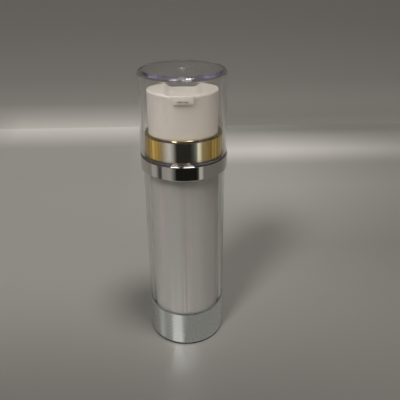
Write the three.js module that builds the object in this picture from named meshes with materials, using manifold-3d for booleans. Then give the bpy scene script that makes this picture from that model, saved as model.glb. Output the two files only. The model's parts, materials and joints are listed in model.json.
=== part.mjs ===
// Dual chamber pump bottle: a clear sleeve round two D-shaped airless chambers, each with its own
// pump under one shared actuator, a gold collar, a silver shoulder ring, a base cup and a clear cap.
// Millimetres, +Z up, origin under the middle of the base cup. The spout faces -Y, and the chambers
// stand side by side along X. Radii run from the bottle's axis unless a comment says otherwise.
import * as THREE from 'three';
import { mergeVertices } from 'three/addons/utils/BufferGeometryUtils.js';
import Module from 'manifold-3d';

const wasm = await Module();
wasm.setup();

// Fits
const SEAT_GAP = 0.3; // between two pieces that sit on or in each other
const SLIDE_GAP = 0.4; // between the actuator and the collar it sinks into
const SEAL_GAP = 0.2; // between a wiper lip and the wall it wipes

// Base cup
const BOTTLE_RADIUS = 20;
const BASE_HEIGHT = 20.8;
const BASE_WALL = 0.9;
const BASE_FLOOR = 1.3;
const BASE_EDGE = 0.6; // rounding of the foot and the rim
const FOOT_RISE = 0.7; // how far the middle of the underside is lifted
const FOOT_WIDTH = 2.6;
const BASE_VENT_RADIUS = 1;

// Clear sleeve
const BOTTLE_SHOWN = 77.7; // between the base cup and the shoulder ring
const BOTTLE_WALL = 2.2;

// Shoulder ring
const RING_HEIGHT = 7.1;
const RING_WALL = 0.85;
const RING_TOP = 1.5;
const RING_EDGE = 0.5;

// Collar and overcap
const COLLAR_SHOWN = 11.8; // above the shoulder ring
const COLLAR_WALL = 1.6;
const COLLAR_SLEEVE = 0.6; // its wall where it is pressed on the carrier
const COLLAR_EDGE = 0.45;
const CAP_INSET = 0.05; // the cap's rim inside the ring's outside
const CAP_WALL = 1.85;
const CAP_TOP = 2;
const CAP_DRAFT = 0.5; // how much the cap narrows from rim to crown
const CAP_EDGE = 1.1;
const CAP_FIT = 0.55; // between the cap's rim and the collar
const CAP_BEAD_RISE = 1.6; // snap bead on the collar, above the cap's rim
const CAP_BEAD_HALF = 0.7;
const CAP_HEADROOM = 6.4; // above the actuator
const GATE_RADIUS = 1.6; // sunk gate mark in the middle of the cap's top
const GATE_DEPTH = 0.3;
const GATE_STUB = 0.5;

// Actuator
const HEAD_SHOWN = 19.6; // above the collar
const HEAD_DIP = 4.5; // inside the collar at rest
const HEAD_WALL = 1.3;
const HEAD_ROOF = 5.8;
const HEAD_EDGE = 0.9;
const BACK_FALL = 1.6; // how far the top drops from its middle to its back edge
const SCOOP_FLOOR_HALF = 6.5;
const SCOOP_LIP_HALF = 10.2;
const SCOOP_FRONT = 0.2; // depth of the finger scoop at the front edge
const SCOOP_BACK = 3.7; // and at the back edge
const SPOUT_TOP_HALF = 5;
const SPOUT_FOOT_HALF = 4.3;
const SPOUT_HEIGHT = 3.6;
const SPOUT_CLEARANCE = 0.95; // to the inside of the cap
const SPOUT_EDGE = 0.5;
const OUTLET_WIDTH = 1.9; // each of the two outlet slots
const OUTLET_HEIGHT = 1;
const OUTLET_WEB = 0.5; // between them
const OUTLET_DROP = 1.9; // their middle, below the actuator's top
const DUCT_RADIUS = 0.8;
const DUCT_WALL = 1.4;
const DUCT_CLEARANCE = 0.8; // between the ducts' front and the inside of the actuator
const SOCKET_WALL = 1;

// Carrier that holds both pumps
const CARRIER_DECK = 1.5;
const CARRIER_SPIGOT = 2;
const CARRIER_SPIGOT_WALL = 1.2;
const CARRIER_RISE_WALL = 1.6;

// Chambers, followers and plugs
const CHAMBER_AIR = 0.7; // between the chambers and the sleeve
const CHAMBER_SPLIT = 0.8; // between the two flats
const CHAMBER_WALL = 1;
const CHAMBER_TOP = 1.2;
const CHAMBER_CORNER = 1.4;
const PLUG_PLATE = 1.2;
const PLUG_RISE = 2;
const PLUG_WALL = 1;
const PLUG_VENT_RADIUS = 0.8;
const FOLLOWER_HEIGHT = 12;
const FOLLOWER_LIP = 2;
const FOLLOWER_WAIST = 0.6;
const FOLLOWER_WALL = 1.2;
const POCKET_CLEARANCE = 0.9; // round the pump's inlet when the follower is at the top
const POCKET_WALL = 1;

// Pump, radii from its own axis
const STROKE = 4.5;
const PRESS_SPARE = 1; // left under the actuator when it is pressed home
const STEM_RADIUS = 1.9;
const STEM_BORE = 0.9;
const STEM_PORT = 0.45;
const STEM_SHOULDER = 0.8; // both the collar on the stem and its thickness
const STEM_FOOT = 1;
const SEAL_HEIGHT = 3.5;
const SEAL_WAIST = 0.35;
const PUMP_BORE = 3.3;
const PUMP_WALL = 0.8;
const PUMP_FLANGE = 1;
const GASKET_THICK = 0.6;
const NECK_WALL = 0.9;
const NECK_RISE = 0.5; // above the carrier's deck
const CLOSURE_WALL = 0.8;
const CLOSURE_TOP = 1.2;
const CLOSURE_PLUG = 3;
const CLOSURE_BOSS = 1;
const BALL_RADIUS = 1.4;
const BALL_LIFT = 0.8;
const BALL_ROOM = 0.6; // round the ball
const INLET_RADIUS = 1;
const INLET_FLOOR = 1.2;
const INLET_NIPPLE = 1.5;
const SPRING_TURNS = 5;
const SPRING_WIRE = 0.5;
const SPRING_SPARE = 2; // length left when the pump is pressed home

// Facets
const ROUND_SIDES = 36;
const PUMP_SIDES = 20;
const HALF_STEPS = 20; // along the round side of a D
const EDGE_STEPS = 3;
const COIL_STEPS = 8;
const WIRE_SIDES = 5;
const BALL_RINGS = 6;
const WELD = 1e-4;
const PAST = 1; // how far a cutter runs past the face it opens

// Radii, from the outside in
const BASE_BORE = BOTTLE_RADIUS - BASE_WALL;
const BOTTLE_BORE = BOTTLE_RADIUS - BOTTLE_WALL;
const RING_BORE = BOTTLE_RADIUS + SEAT_GAP;
const RING_RADIUS = RING_BORE + RING_WALL;
const CAP_RADIUS = RING_RADIUS - CAP_INSET;
const CAP_BORE = CAP_RADIUS - CAP_WALL;
const COLLAR_RADIUS = CAP_BORE - CAP_FIT;
const COLLAR_BORE = COLLAR_RADIUS - COLLAR_WALL;
const HEAD_RADIUS = COLLAR_BORE - SLIDE_GAP;
const HEAD_BORE = HEAD_RADIUS - HEAD_WALL;
const SPOUT_RADIUS = CAP_BORE - CAP_DRAFT - SPOUT_CLEARANCE;
const DUCT_BODY = DUCT_RADIUS + DUCT_WALL; // from a duct's own axis
const DUCT_FRONT = HEAD_BORE - DUCT_CLEARANCE - DUCT_BODY; // where the ducts turn up to the outlets
const RISE_RADIUS = COLLAR_RADIUS - COLLAR_SLEEVE - SEAT_GAP;
const CHAMBER_RADIUS = BOTTLE_BORE - CHAMBER_AIR;
const CHAMBER_FLAT = CHAMBER_SPLIT / 2;

// Pump radii, from the inside out, and the place of the two pumps
const HOUSING_RADIUS = PUMP_BORE + PUMP_WALL;
const NECK_BORE = HOUSING_RADIUS + SEAT_GAP;
const NECK_RADIUS = NECK_BORE + NECK_WALL;
const CLOSURE_BORE = NECK_RADIUS + SEAT_GAP;
const CLOSURE_RADIUS = CLOSURE_BORE + CLOSURE_WALL;
const PUMP_X = CLOSURE_RADIUS + SEAT_GAP;
const STEM_HOLE = STEM_RADIUS + SEAT_GAP;
const SOCKET_RADIUS = STEM_HOLE + SOCKET_WALL;
const BALL_ROOM_RADIUS = BALL_RADIUS + BALL_ROOM;
const INLET_BODY = BALL_ROOM_RADIUS + PUMP_WALL;
const SPRING_RADIUS = (BALL_ROOM_RADIUS + PUMP_BORE) / 2;
const POCKET_RADIUS = INLET_BODY + POCKET_CLEARANCE;

// Heights, from the table up to the deck that carries the pumps
const FLOOR_TOP = FOOT_RISE + BASE_FLOOR;
const PLUG_Z = FLOOR_TOP + SEAT_GAP;
const CHAMBER_Z = PLUG_Z + PLUG_PLATE + SEAT_GAP;
const FOLLOWER_Z = PLUG_Z + PLUG_PLATE + PLUG_RISE + SEAT_GAP;
const RING_Z = BASE_HEIGHT + BOTTLE_SHOWN;
const RING_TOP_Z = RING_Z + RING_HEIGHT;
const DECK_TOP = RING_TOP_Z - RING_TOP - SEAT_GAP;
const DECK_Z = DECK_TOP - CARRIER_DECK;
const SPIGOT_Z = DECK_Z - CARRIER_SPIGOT;
const CHAMBER_TOP_Z = SPIGOT_Z - SEAT_GAP;

// Heights of the collar, actuator and cap
const COLLAR_TOP_Z = RING_TOP_Z + COLLAR_SHOWN;
const HEAD_Z = COLLAR_TOP_Z - HEAD_DIP;
const HEAD_TOP_Z = COLLAR_TOP_Z + HEAD_SHOWN;
const ROOF_Z = HEAD_TOP_Z - HEAD_ROOF;
const RISE_TOP_Z = HEAD_Z - STROKE - PRESS_SPARE;
const CAP_Z = RING_TOP_Z + SEAT_GAP;
const CAP_ROOF_Z = HEAD_TOP_Z + CAP_HEADROOM;
const CAP_TOP_Z = CAP_ROOF_Z + CAP_TOP;

// Heights of one pump, from its neck up, then from its closure down
const NECK_TOP_Z = DECK_TOP + NECK_RISE;
const GASKET_Z = NECK_TOP_Z + SEAT_GAP;
const FLANGE_Z = GASKET_Z + GASKET_THICK + SEAT_GAP;
const CLOSURE_Z = FLANGE_Z + PUMP_FLANGE + SEAT_GAP;
const CLOSURE_TOP_Z = CLOSURE_Z + CLOSURE_TOP;
const BOSS_TOP_Z = CLOSURE_TOP_Z + CLOSURE_BOSS;
const PLUG_END_Z = CLOSURE_Z - CLOSURE_PLUG;
const SHOULDER_Z = PLUG_END_Z - SEAT_GAP - STEM_SHOULDER;
const SEAL_Z = SHOULDER_Z - SEAT_GAP - SEAL_HEIGHT;
const STEM_Z = SEAL_Z - SEAT_GAP - STEM_FOOT;
const SPRING_LENGTH = STROKE + (SPRING_TURNS + 1) * SPRING_WIRE + SPRING_SPARE;
const SPRING_Z = STEM_Z - SEAT_GAP - SPRING_LENGTH;
const SPRING_SEAT_Z = SPRING_Z - SEAT_GAP;
const BALL_Z = Math.sqrt(BALL_RADIUS ** 2 - INLET_RADIUS ** 2) + SEAL_GAP; // its middle, above its seat
const BALL_SEAT_Z = SPRING_SEAT_Z - BALL_Z - BALL_RADIUS - BALL_LIFT - SEAL_GAP;
const INLET_Z = BALL_SEAT_Z - INLET_FLOOR;
const HOUSING_Z = INLET_Z - INLET_NIPPLE;
const BODY_Z = SPRING_SEAT_Z - PUMP_WALL; // where the housing widens to its pump bore
const SOCKET_Z = BOSS_TOP_Z + STROKE + PRESS_SPARE;
const MANIFOLD_TOP_Z = ROOF_Z - SEAT_GAP;
const DUCT_Z = MANIFOLD_TOP_Z - DUCT_BODY;
const STEM_TOP_Z = DUCT_Z - DUCT_BODY - SEAT_GAP;
const POCKET_DEPTH = BODY_Z - HOUSING_Z;

// Points of an arc in the plane of a profile or an outline
function arc(x, y, radius, from, to, steps = EDGE_STEPS) {
  const points = [];
  for (let i = 0; i <= steps; i += 1) {
    const angle = from + ((to - from) * i) / steps;
    points.push([x + radius * Math.cos(angle), y + radius * Math.sin(angle)]);
  }
  return points;
}

const QUARTER = Math.PI / 2;

// A geometry as a solid: its shared vertices are joined, and faces that shrank to a line dropped
function weld(geometry) {
  geometry.deleteAttribute('normal');
  geometry.deleteAttribute('uv');
  const merged = mergeVertices(geometry, WELD);
  const index = merged.index.array;
  const kept = [];
  for (let i = 0; i < index.length; i += 3) {
    const [a, b, c] = index.slice(i, i + 3);
    if (a !== b && b !== c && c !== a) kept.push(a, b, c);
  }
  const vertProperties = merged.attributes.position.array;
  const triVerts = Uint32Array.from(kept);
  return new wasm.Manifold(new wasm.Mesh({ numProp: 3, vertProperties, triVerts }));
}

// A turned solid from a closed profile of [radius, z] points, listed upwards on the outside
function turn(profile, sides = ROUND_SIDES) {
  const points = [...profile, profile[0]].map(([r, z]) => new THREE.Vector2(r, z));
  const geometry = new THREE.LatheGeometry(points, sides);
  geometry.rotateX(QUARTER);
  return weld(geometry);
}

// A straight-sided solid from an outline of [x, y] points, from one height to another
function prism(outline, from, to) {
  const shape = new THREE.Shape(outline.map(([x, y]) => new THREE.Vector2(x, y)));
  const geometry = new THREE.ExtrudeGeometry(shape, { depth: to - from, bevelEnabled: false });
  geometry.translate(0, 0, from);
  return weld(geometry);
}

// A round bar between two points
function rod(from, to, radius, sides = PUMP_SIDES) {
  const start = new THREE.Vector3(...from);
  const along = new THREE.Vector3(...to).sub(start);
  const geometry = new THREE.CylinderGeometry(radius, radius, along.length(), sides);
  geometry.translate(0, along.length() / 2, 0);
  const upright = new THREE.Vector3(0, 1, 0);
  const turned = new THREE.Quaternion().setFromUnitVectors(upright, along.clone().normalize());
  geometry.applyQuaternion(turned);
  geometry.translate(...from);
  return weld(geometry);
}

function block([x0, y0, z0], [x1, y1, z1]) {
  return prism([[x0, y0], [x1, y0], [x1, y1], [x0, y1]], z0, z1);
}

// A solid as a named mesh with its material
function piece(name, solid, material) {
  const { vertProperties, triVerts } = solid.getMesh();
  const geometry = new THREE.BufferGeometry();
  geometry.setAttribute('position', new THREE.BufferAttribute(vertProperties, 3));
  geometry.setIndex(new THREE.BufferAttribute(triVerts, 1));
  const flat = geometry.toNonIndexed();
  flat.computeVertexNormals();
  const mesh = new THREE.Mesh(flat, new THREE.MeshStandardMaterial(material));
  mesh.name = name;
  return mesh;
}

const CLEAR_STYRENE = { color: 0xe4e2ea, roughness: 0.05, metalness: 0, transparent: true, opacity: 0.3 };
const WHITE_POLYPROPYLENE = { color: 0xdfd8cf, roughness: 0.45, metalness: 0 };
const PEARL_POLYPROPYLENE = { color: 0xd8d6d0, roughness: 0.35, metalness: 0 };
const GOLD_PLATE = { color: 0xb08a3e, roughness: 0.08, metalness: 1 };
const SILVER_PLATE = { color: 0xc9c8c6, roughness: 0.06, metalness: 1 };
const SATIN_SILVER = { color: 0xb4b5b4, roughness: 0.32, metalness: 1 };
const SOFT_POLYETHYLENE = { color: 0xe8e6df, roughness: 0.55, metalness: 0 };
const SPRING_STEEL = { color: 0x9a9ca0, roughness: 0.25, metalness: 1 };

// Cup with a rounded foot ring, a lifted underside and a vent that lets air in under the followers
function baseCup() {
  const footOut = BOTTLE_RADIUS - BASE_EDGE;
  const footIn = footOut - FOOT_WIDTH;
  return turn([
    [BASE_VENT_RADIUS, FOOT_RISE],
    [footIn - FOOT_RISE, FOOT_RISE],
    [footIn, 0],
    ...arc(footOut, BASE_EDGE, BASE_EDGE, -QUARTER, 0),
    ...arc(BOTTLE_RADIUS - BASE_EDGE / 2, BASE_HEIGHT - BASE_EDGE / 2, BASE_EDGE / 2, 0, QUARTER),
    [BASE_BORE, BASE_HEIGHT],
    [BASE_BORE, FLOOR_TOP],
    [BASE_VENT_RADIUS, FLOOR_TOP],
  ]);
}

// Thick clear sleeve whose lower end is stepped in to stand inside the base cup
function outerBottle() {
  const spigot = BASE_BORE - SEAT_GAP;
  const step = BASE_HEIGHT + SEAT_GAP;
  const edge = BASE_EDGE / 2;
  return turn([
    [BOTTLE_BORE, PLUG_Z],
    [spigot, PLUG_Z],
    [spigot, step],
    ...arc(BOTTLE_RADIUS - edge, step + edge, edge, -QUARTER, 0),
    [BOTTLE_RADIUS, DECK_Z - SEAT_GAP],
    [BOTTLE_BORE, DECK_Z - SEAT_GAP],
  ]);
}

// Ring over the sleeve's top: a thin skirt under a ledge that the cap stands on
function shoulderRing() {
  const hole = COLLAR_RADIUS + SEAT_GAP;
  return turn([
    [RING_BORE, RING_Z],
    ...arc(RING_RADIUS - RING_EDGE, RING_Z + RING_EDGE, RING_EDGE, -QUARTER, 0),
    ...arc(RING_RADIUS - RING_EDGE, RING_TOP_Z - RING_EDGE, RING_EDGE, 0, QUARTER),
    [hole, RING_TOP_Z],
    [hole, RING_TOP_Z - RING_TOP],
    [RING_BORE, RING_TOP_Z - RING_TOP],
  ]);
}

// Collar pressed on the carrier's wall, with the bead that the cap snaps over
function pumpCollar() {
  const foot = DECK_TOP + SEAT_GAP;
  const bead = COLLAR_RADIUS + CAP_FIT - SEAT_GAP;
  const beadZ = CAP_Z + CAP_BEAD_RISE;
  const sleeve = COLLAR_RADIUS - COLLAR_SLEEVE;
  return turn([
    [sleeve, foot],
    [COLLAR_RADIUS, foot],
    [COLLAR_RADIUS, beadZ - CAP_BEAD_HALF],
    [bead, beadZ],
    [COLLAR_RADIUS, beadZ + CAP_BEAD_HALF],
    ...arc(COLLAR_RADIUS - COLLAR_EDGE, COLLAR_TOP_Z - COLLAR_EDGE, COLLAR_EDGE, 0, QUARTER),
    [COLLAR_BORE, COLLAR_TOP_Z],
    [COLLAR_BORE, RISE_TOP_Z + SEAT_GAP],
    [sleeve, RISE_TOP_Z + SEAT_GAP],
  ]);
}

// Thick clear cap with drafted walls, a rounded crown and a sunk gate mark with its stub
function overcap() {
  const crown = CAP_RADIUS - CAP_DRAFT;
  const crownBore = CAP_BORE - CAP_DRAFT;
  const inner = CAP_EDGE;
  return turn([
    [CAP_BORE, CAP_Z],
    [CAP_RADIUS, CAP_Z],
    ...arc(crown - CAP_EDGE, CAP_TOP_Z - CAP_EDGE, CAP_EDGE, 0, QUARTER),
    [GATE_RADIUS, CAP_TOP_Z],
    [GATE_RADIUS - GATE_DEPTH, CAP_TOP_Z - GATE_DEPTH],
    [GATE_STUB, CAP_TOP_Z - GATE_DEPTH],
    [GATE_STUB, CAP_TOP_Z - GATE_DEPTH / 2],
    [0, CAP_TOP_Z - GATE_DEPTH / 2],
    [0, CAP_ROOF_Z],
    ...arc(crownBore - inner, CAP_ROOF_Z - inner, inner, QUARTER, 0),
  ]);
}

// The scoop across the actuator's top: flat floor, sloping sides, deeper to the back
function fingerScoop() {
  const rim = PAST + SCOOP_BACK;
  const slope = (SCOOP_LIP_HALF - SCOOP_FLOOR_HALF) / SCOOP_BACK;
  const wide = SCOOP_FLOOR_HALF + slope * rim;
  const outline = [[-SCOOP_FLOOR_HALF, 0], [SCOOP_FLOOR_HALF, 0], [wide, rim], [-wide, rim]];
  const reach = 2 * HEAD_RADIUS + 2 * PAST;
  const fall = Math.atan((SCOOP_BACK - SCOOP_FRONT) / (2 * HEAD_RADIUS));
  const shape = new THREE.Shape(outline.map(([x, y]) => new THREE.Vector2(x, y)));
  const geometry = new THREE.ExtrudeGeometry(shape, { depth: reach, bevelEnabled: false });
  geometry.translate(0, 0, -reach / 2);
  geometry.rotateX(QUARTER - fall);
  geometry.translate(0, 0, HEAD_TOP_Z - (SCOOP_FRONT + SCOOP_BACK) / 2);
  return weld(geometry);
}

// The wedge taken off the back half of the top
function backWedge() {
  const reach = HEAD_RADIUS + PAST;
  const drop = (BACK_FALL * reach) / HEAD_RADIUS;
  const side = [[0, 0], [reach, -drop], [reach, PAST], [0, PAST]];
  const shape = new THREE.Shape(side.map(([y, z]) => new THREE.Vector2(y, z)));
  const geometry = new THREE.ExtrudeGeometry(shape, { depth: 2 * reach, bevelEnabled: false });
  geometry.rotateX(QUARTER);
  geometry.rotateZ(QUARTER);
  geometry.translate(-reach, 0, HEAD_TOP_Z);
  return weld(geometry);
}

// The flat spout: a tab that narrows downwards and ends on a curve just inside the cap
function spoutTab() {
  const foot = HEAD_TOP_Z - SPOUT_HEIGHT;
  const outline = [
    [-SPOUT_FOOT_HALF, foot],
    [SPOUT_FOOT_HALF, foot],
    [SPOUT_TOP_HALF, HEAD_TOP_Z - SPOUT_EDGE],
    [SPOUT_TOP_HALF - SPOUT_EDGE, HEAD_TOP_Z],
    [-SPOUT_TOP_HALF + SPOUT_EDGE, HEAD_TOP_Z],
    [-SPOUT_TOP_HALF, HEAD_TOP_Z - SPOUT_EDGE],
  ];
  const root = HEAD_RADIUS - 2 * HEAD_WALL;
  const shape = new THREE.Shape(outline.map(([x, z]) => new THREE.Vector2(x, z)));
  const geometry = new THREE.ExtrudeGeometry(shape, { depth: SPOUT_RADIUS - root, bevelEnabled: false });
  geometry.rotateX(QUARTER);
  geometry.translate(0, -root, 0);
  const face = turn([
    [0, foot - PAST],
    [SPOUT_RADIUS, foot - PAST],
    [SPOUT_RADIUS, HEAD_TOP_Z - SPOUT_EDGE],
    [SPOUT_RADIUS - SPOUT_EDGE, HEAD_TOP_Z],
    [0, HEAD_TOP_Z],
  ], 2 * ROUND_SIDES);
  return weld(geometry).intersect(face);
}

const OUTLET_X = (OUTLET_WEB + OUTLET_WIDTH) / 2;
const OUTLET_Z = HEAD_TOP_Z - OUTLET_DROP;

// Pump head: a deep shell with a scooped top, and the spout with its two outlets
function actuator() {
  const shell = turn([
    [HEAD_BORE, HEAD_Z],
    [HEAD_RADIUS, HEAD_Z],
    ...arc(HEAD_RADIUS - HEAD_EDGE, HEAD_TOP_Z - HEAD_EDGE, HEAD_EDGE, 0, QUARTER),
    [0, HEAD_TOP_Z],
    [0, ROOF_Z],
    [HEAD_BORE, ROOF_Z],
  ]);
  let head = shell.subtract(backWedge()).add(spoutTab()).subtract(fingerScoop());
  for (const side of [-1, 1]) {
    const x = side * OUTLET_X;
    const slot = block(
      [x - OUTLET_WIDTH / 2, -SPOUT_RADIUS - PAST, OUTLET_Z - OUTLET_HEIGHT / 2],
      [x + OUTLET_WIDTH / 2, -DUCT_FRONT, OUTLET_Z + OUTLET_HEIGHT / 2],
    );
    const riser = rod([x, -DUCT_FRONT, ROOF_Z - PAST], [x, -DUCT_FRONT, OUTLET_Z], DUCT_RADIUS);
    head = head.subtract(slot.add(riser));
  }
  return head;
}

// Inner piece of the pump head: a socket for each stem and a separate duct from each to its outlet
function outletManifold() {
  let body = null;
  let hollow = null;
  for (const side of [-1, 1]) {
    const back = [side * PUMP_X, 0, DUCT_Z];
    const front = [side * OUTLET_X, -DUCT_FRONT, DUCT_Z];
    const low = DUCT_Z - DUCT_BODY;
    const socket = rod([back[0], 0, SOCKET_Z], [back[0], 0, MANIFOLD_TOP_Z], SOCKET_RADIUS);
    const post = rod([front[0], front[1], low], [front[0], front[1], MANIFOLD_TOP_Z], DUCT_BODY);
    const angle = Math.atan2(front[1] - back[1], front[0] - back[0]);
    const [nx, ny] = [-Math.sin(angle) * DUCT_BODY, Math.cos(angle) * DUCT_BODY];
    const bar = prism([
      [back[0] - nx, back[1] - ny],
      [front[0] - nx, front[1] - ny],
      [front[0] + nx, front[1] + ny],
      [back[0] + nx, back[1] + ny],
    ], low, MANIFOLD_TOP_Z);
    const bore = rod([back[0], 0, SOCKET_Z - PAST], [back[0], 0, low], STEM_HOLE);
    const rise = rod([back[0], 0, low - PAST], back, DUCT_RADIUS);
    const duct = rod(back, front, DUCT_RADIUS);
    const outlet = rod(front, [front[0], front[1], MANIFOLD_TOP_Z + PAST], DUCT_RADIUS);
    const solid = socket.add(bar).add(post);
    const cut = bore.add(rise).add(duct).add(outlet);
    body = body ? body.add(solid) : solid;
    hollow = hollow ? hollow.add(cut) : cut;
  }
  return body.subtract(hollow);
}

// Deck that stands on the sleeve's rim, with a spigot inside the sleeve, a wall for the collar,
// and a hole for each chamber's neck
function pumpCarrier() {
  const spigot = BOTTLE_BORE - SEAT_GAP;
  const deck = turn([
    [0, DECK_Z],
    [spigot - CARRIER_SPIGOT_WALL, DECK_Z],
    [spigot - CARRIER_SPIGOT_WALL, SPIGOT_Z],
    [spigot, SPIGOT_Z],
    [spigot, DECK_Z],
    [BOTTLE_RADIUS, DECK_Z],
    [BOTTLE_RADIUS, DECK_TOP],
    [RISE_RADIUS, DECK_TOP],
    [RISE_RADIUS, RISE_TOP_Z],
    [RISE_RADIUS - CARRIER_RISE_WALL, RISE_TOP_Z],
    [RISE_RADIUS - CARRIER_RISE_WALL, DECK_TOP],
    [0, DECK_TOP],
  ]);
  const hole = NECK_RADIUS + SEAT_GAP;
  const holes = [-1, 1].map((side) => {
    const x = side * PUMP_X;
    return rod([x, 0, DECK_Z - PAST], [x, 0, DECK_TOP + PAST], hole);
  });
  return deck.subtract(holes[0]).subtract(holes[1]);
}

// Outline of a D on the +X side: a flat, a round side on the bottle's axis and rounded corners,
// drawn in by an inset all round
function dOutline(inset) {
  const radius = CHAMBER_RADIUS - inset;
  const flat = CHAMBER_FLAT + inset;
  const corner = Math.max(CHAMBER_CORNER - inset, SEAT_GAP);
  const x = flat + corner;
  const y = Math.sqrt((radius - corner) ** 2 - x ** 2);
  const reach = Math.atan2(y, x);
  return [
    ...arc(x, -y, corner, Math.PI, 2 * Math.PI - reach),
    ...arc(0, 0, radius, -reach, reach, HALF_STEPS).slice(1, -1),
    ...arc(x, y, corner, reach, Math.PI),
  ];
}

// Inner bottle: a D-shaped tube open below, closed above round a neck for the pump
function chamber() {
  const outside = prism(dOutline(0), CHAMBER_Z, CHAMBER_TOP_Z);
  const inside = prism(dOutline(CHAMBER_WALL), CHAMBER_Z - PAST, CHAMBER_TOP_Z - CHAMBER_TOP);
  const neck = rod([PUMP_X, 0, CHAMBER_TOP_Z - CHAMBER_TOP], [PUMP_X, 0, NECK_TOP_Z], NECK_RADIUS);
  const mouth = rod([PUMP_X, 0, CHAMBER_TOP_Z - 2 * CHAMBER_TOP], [PUMP_X, 0, NECK_TOP_Z + PAST], NECK_BORE);
  return outside.subtract(inside).add(neck).subtract(mouth);
}

// Vented plug under the chamber: a plate with a wall that stands inside it
function chamberBase() {
  const low = PLUG_Z + PLUG_PLATE;
  const wall = CHAMBER_WALL + SEAT_GAP;
  const plate = prism(dOutline(0), PLUG_Z, low);
  const rise = prism(dOutline(wall), low, low + PLUG_RISE);
  const hollow = prism(dOutline(wall + PLUG_WALL), low, low + PLUG_RISE + PAST);
  const vent = rod([PUMP_X, 0, PLUG_Z - PAST], [PUMP_X, 0, low + PAST], PLUG_VENT_RADIUS);
  return plate.add(rise).subtract(hollow).subtract(vent);
}

// Follower piston: two wiper lips round a waist, hollow below, with a pocket for the pump's inlet
function follower() {
  const fit = CHAMBER_WALL + SEAL_GAP;
  const top = FOLLOWER_Z + FOLLOWER_HEIGHT;
  const crown = top - FOLLOWER_WALL;
  const waist = prism(dOutline(fit + FOLLOWER_WAIST), FOLLOWER_Z, top);
  const lowLip = prism(dOutline(fit), FOLLOWER_Z, FOLLOWER_Z + FOLLOWER_LIP);
  const topLip = prism(dOutline(fit), top - FOLLOWER_LIP, top);
  const hollow = prism(dOutline(fit + FOLLOWER_WAIST + FOLLOWER_WALL), FOLLOWER_Z - PAST, crown);
  const floor = top - POCKET_DEPTH;
  const cup = rod([PUMP_X, 0, floor - POCKET_WALL], [PUMP_X, 0, top], POCKET_RADIUS + POCKET_WALL);
  const pocket = rod([PUMP_X, 0, floor], [PUMP_X, 0, top + PAST], POCKET_RADIUS);
  return waist.add(lowLip).add(topLip).subtract(hollow).add(cup).subtract(pocket);
}

// Pump housing: a flanged barrel that narrows to the inlet valve and its nipple
function pumpHousing() {
  return turn([
    [INLET_RADIUS, HOUSING_Z],
    [INLET_RADIUS + PUMP_WALL, HOUSING_Z],
    [INLET_RADIUS + PUMP_WALL, INLET_Z],
    [INLET_BODY, INLET_Z],
    [INLET_BODY, BODY_Z],
    [HOUSING_RADIUS, BODY_Z],
    [HOUSING_RADIUS, FLANGE_Z],
    [NECK_RADIUS, FLANGE_Z],
    [NECK_RADIUS, FLANGE_Z + PUMP_FLANGE],
    [PUMP_BORE, FLANGE_Z + PUMP_FLANGE],
    [PUMP_BORE, SPRING_SEAT_Z],
    [BALL_ROOM_RADIUS, SPRING_SEAT_Z],
    [BALL_ROOM_RADIUS, BALL_SEAT_Z],
    [INLET_RADIUS, BALL_SEAT_Z],
  ], PUMP_SIDES);
}

function housingGasket() {
  return turn([
    [NECK_BORE, GASKET_Z],
    [NECK_RADIUS, GASKET_Z],
    [NECK_RADIUS, GASKET_Z + GASKET_THICK],
    [NECK_BORE, GASKET_Z + GASKET_THICK],
  ], PUMP_SIDES);
}

// Closure over the neck: a skirt outside it, a plug inside the housing and a guide for the stem
function housingClosure() {
  const plug = PUMP_BORE - SEAT_GAP;
  return turn([
    [STEM_HOLE, PLUG_END_Z],
    [plug, PLUG_END_Z],
    [plug, CLOSURE_Z],
    [CLOSURE_BORE, CLOSURE_Z],
    [CLOSURE_BORE, DECK_TOP + SEAT_GAP],
    [CLOSURE_RADIUS, DECK_TOP + SEAT_GAP],
    [CLOSURE_RADIUS, CLOSURE_TOP_Z],
    [plug, CLOSURE_TOP_Z],
    [plug, BOSS_TOP_Z],
    [STEM_HOLE, BOSS_TOP_Z],
  ], PUMP_SIDES);
}

// Hollow stem with a foot for the spring, a shoulder that pushes the seal, and a cross port
function pumpStem() {
  const foot = PUMP_BORE - SLIDE_GAP;
  const portZ = SEAL_Z + SEAL_HEIGHT / 2;
  const stem = turn([
    [0, STEM_Z],
    [foot, STEM_Z],
    [foot, STEM_Z + STEM_FOOT],
    [STEM_RADIUS, STEM_Z + STEM_FOOT],
    [STEM_RADIUS, SHOULDER_Z],
    [STEM_RADIUS + STEM_SHOULDER, SHOULDER_Z],
    [STEM_RADIUS + STEM_SHOULDER, SHOULDER_Z + STEM_SHOULDER],
    [STEM_RADIUS, SHOULDER_Z + STEM_SHOULDER],
    [STEM_RADIUS, STEM_TOP_Z],
    [STEM_BORE, STEM_TOP_Z],
    [STEM_BORE, SEAL_Z],
    [0, SEAL_Z],
  ], PUMP_SIDES);
  const reach = STEM_RADIUS + PAST;
  return stem.subtract(rod([0, -reach, portZ], [0, reach, portZ], STEM_PORT, COIL_STEPS));
}

// Piston seal: a sleeve with a wiper lip at each end
function pistonSeal() {
  const bore = STEM_RADIUS + SEAL_GAP;
  const lip = PUMP_BORE - SEAL_GAP;
  const top = SEAL_Z + SEAL_HEIGHT;
  return turn([
    [bore, SEAL_Z],
    [lip, SEAL_Z],
    [lip - SEAL_WAIST, SEAL_Z + SEAL_WAIST],
    [lip - SEAL_WAIST, top - SEAL_WAIST],
    [lip, top],
    [bore, top],
  ], PUMP_SIDES);
}

function inletBall() {
  const ball = new THREE.SphereGeometry(BALL_RADIUS, 2 * BALL_RINGS, BALL_RINGS);
  ball.rotateX(QUARTER);
  ball.translate(0, 0, BALL_SEAT_Z + BALL_Z);
  return weld(ball);
}

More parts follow.
